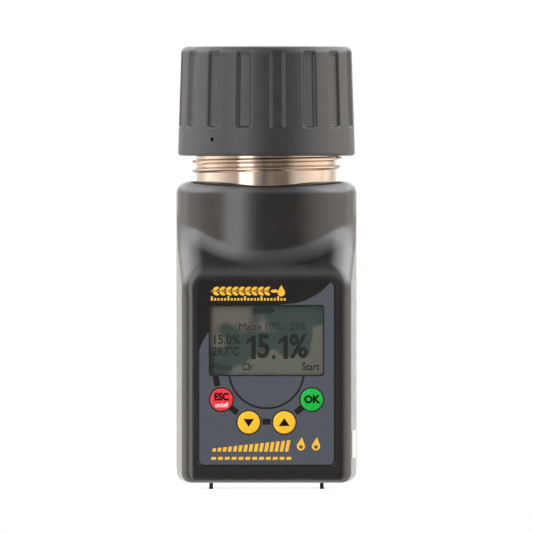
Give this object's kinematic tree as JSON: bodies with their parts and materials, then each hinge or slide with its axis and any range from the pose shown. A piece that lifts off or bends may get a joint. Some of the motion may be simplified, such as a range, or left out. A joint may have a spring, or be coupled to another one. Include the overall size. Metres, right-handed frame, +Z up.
{
  "type": "grain moisture meter",
  "caption": "Hand-held grain moisture meter: threaded metal measuring cup under a ribbed screw cap with a sprung presser, display, keypad, battery bay.",
  "frame": {"origin": "on the standing surface, under the middle of the bounding box and the chamber axis", "axes": "+Z up along the measuring chamber's axis, -Y out of the keypad, +X to the right of a reader"},
  "size_m": [0.082, 0.0804, 0.2008],
  "materials": {
    "black_plastic": "fine moulded texture, satin",
    "overlay_print": "printed sheet, semi matt, slate grey and black zones",
    "clear_window": "clear acrylic",
    "bright_steel": "turned or stamped steel",
    "display_glass": "grey-green reflective display",
    "white_plastic": "natural insulating plastic",
    "circuit_green": "solder resist",
    "black_parts": "moulded black",
    "key_red": "smooth key",
    "key_yellow": "smooth key",
    "key_green": "smooth key",
    "capacitor_sleeve": "shrink sleeve",
    "warm_nickel": "polished, warm nickel on brass",
    "brass_parts": "turned brass",
    "black_rubber": "matt rubber",
    "grey_cable": "round cable sheath",
    "red_cable": "lead insulation",
    "cell_jacket": "plain printed jacket",
    "white_label": "blank paper label",
    "cap_grey": "fine-grained soft matt",
    "indicator_red": "smooth"
  },
  "bodies": {
    "root": {"front_housing": "black_plastic", "rear_housing": "black_plastic", "keypad_overlay": "overlay_print", "display_window": "clear_window", "display_frame": "bright_steel", "display_glass": "display_glass", "display_backlight": "white_plastic", "display_board": "circuit_green", "display_header": "black_parts", "snap_domes": "bright_steel", "keypad_circuit": "circuit_green", "keypad_header": "black_parts", "main_board": "circuit_green", "main_processor": "black_parts", "board_chips": "black_parts", "board_capacitors": "capacitor_sleeve", "buzzer": "black_parts", "board_connectors": "white_plastic", "board_screws": "bright_steel", "chamber_cup": "warm_nickel", "chamber_base": "white_plastic", "base_seal": "black_rubber", "base_retaining_ring": "bright_steel", "centre_electrode": "brass_parts", "electrode_washer": "bright_steel", "electrode_nut": "bright_steel", "temperature_probe": "bright_steel", "sensor_board": "circuit_green", "sensor_spacers": "brass_parts", "sensor_cable": "grey_cable", "battery_tray": "black_parts", "battery_springs": "bright_steel", "battery_plates": "bright_steel", "cell_1": "cell_jacket", "cell_2": "cell_jacket", "cell_3": "cell_jacket", "cell_4": "cell_jacket", "battery_leads": "red_cable", "case_screws": "bright_steel", "foot_left": "black_rubber", "foot_right": "black_rubber", "side_label": "white_label", "rear_label": "white_label"},
    "esc_button": {"key_esc": "key_red"},
    "down_button": {"key_down": "key_yellow"},
    "up_button": {"key_up": "key_yellow"},
    "ok_button": {"key_ok": "key_green"},
    "door": {"battery_door": "black_plastic", "door_screw": "bright_steel"},
    "cap_carrier": {"thrust_washer": "white_plastic", "guide_sleeve": "bright_steel", "presser_spring": "bright_steel"},
    "cap": {"cap_shell": "cap_grey", "cap_thread_insert": "warm_nickel", "insert_lock_screw": "black_parts", "sleeve_circlip": "bright_steel"},
    "presser": {"pressing_disc": "bright_steel", "presser_stem": "bright_steel", "indicator_pin": "indicator_red"}
  },
  "joints": [
    {"name": "esc_press", "type": "slide", "parent": "root", "child": "esc_button", "axis": [0, 1, 0], "range_m": [0, 0.0005], "stiffness_N_per_m": 400, "springref_m": -0.0008},
    {"name": "down_press", "type": "slide", "parent": "root", "child": "down_button", "axis": [0, 1, 0], "range_m": [0, 0.0005], "stiffness_N_per_m": 400, "springref_m": -0.0008},
    {"name": "up_press", "type": "slide", "parent": "root", "child": "up_button", "axis": [0, 1, 0], "range_m": [0, 0.0005], "stiffness_N_per_m": 400, "springref_m": -0.0008},
    {"name": "ok_press", "type": "slide", "parent": "root", "child": "ok_button", "axis": [0, 1, 0], "range_m": [0, 0.0005], "stiffness_N_per_m": 400, "springref_m": -0.0008},
    {"name": "door_swing", "type": "hinge", "parent": "root", "child": "door", "pos_m": [0, 0.03385, 0.01445], "axis": [-1, 0, 0], "range_deg": [0, 75]},
    {"name": "cap_travel", "type": "slide", "parent": "root", "child": "cap_carrier", "axis": [0, 0, 1], "range_m": [-0.01075, 0.02225]},
    {"name": "cap_turn", "type": "hinge", "parent": "cap_carrier", "child": "cap", "pos_m": [0, 0, 0.17], "axis": [0, 0, 1], "range_deg": [-1044, 2160]},
    {"name": "presser_slide", "type": "slide", "parent": "cap_carrier", "child": "presser", "axis": [0, 0, 1], "range_m": [0, 0.006], "stiffness_N_per_m": 1500, "springref_m": -0.006, "deforming": ["presser_spring"]}
  ],
  "couplings": [
    {"joint": "cap_travel", "follows": "cap_turn", "m_per_rad": 0.00058887}
  ]
}
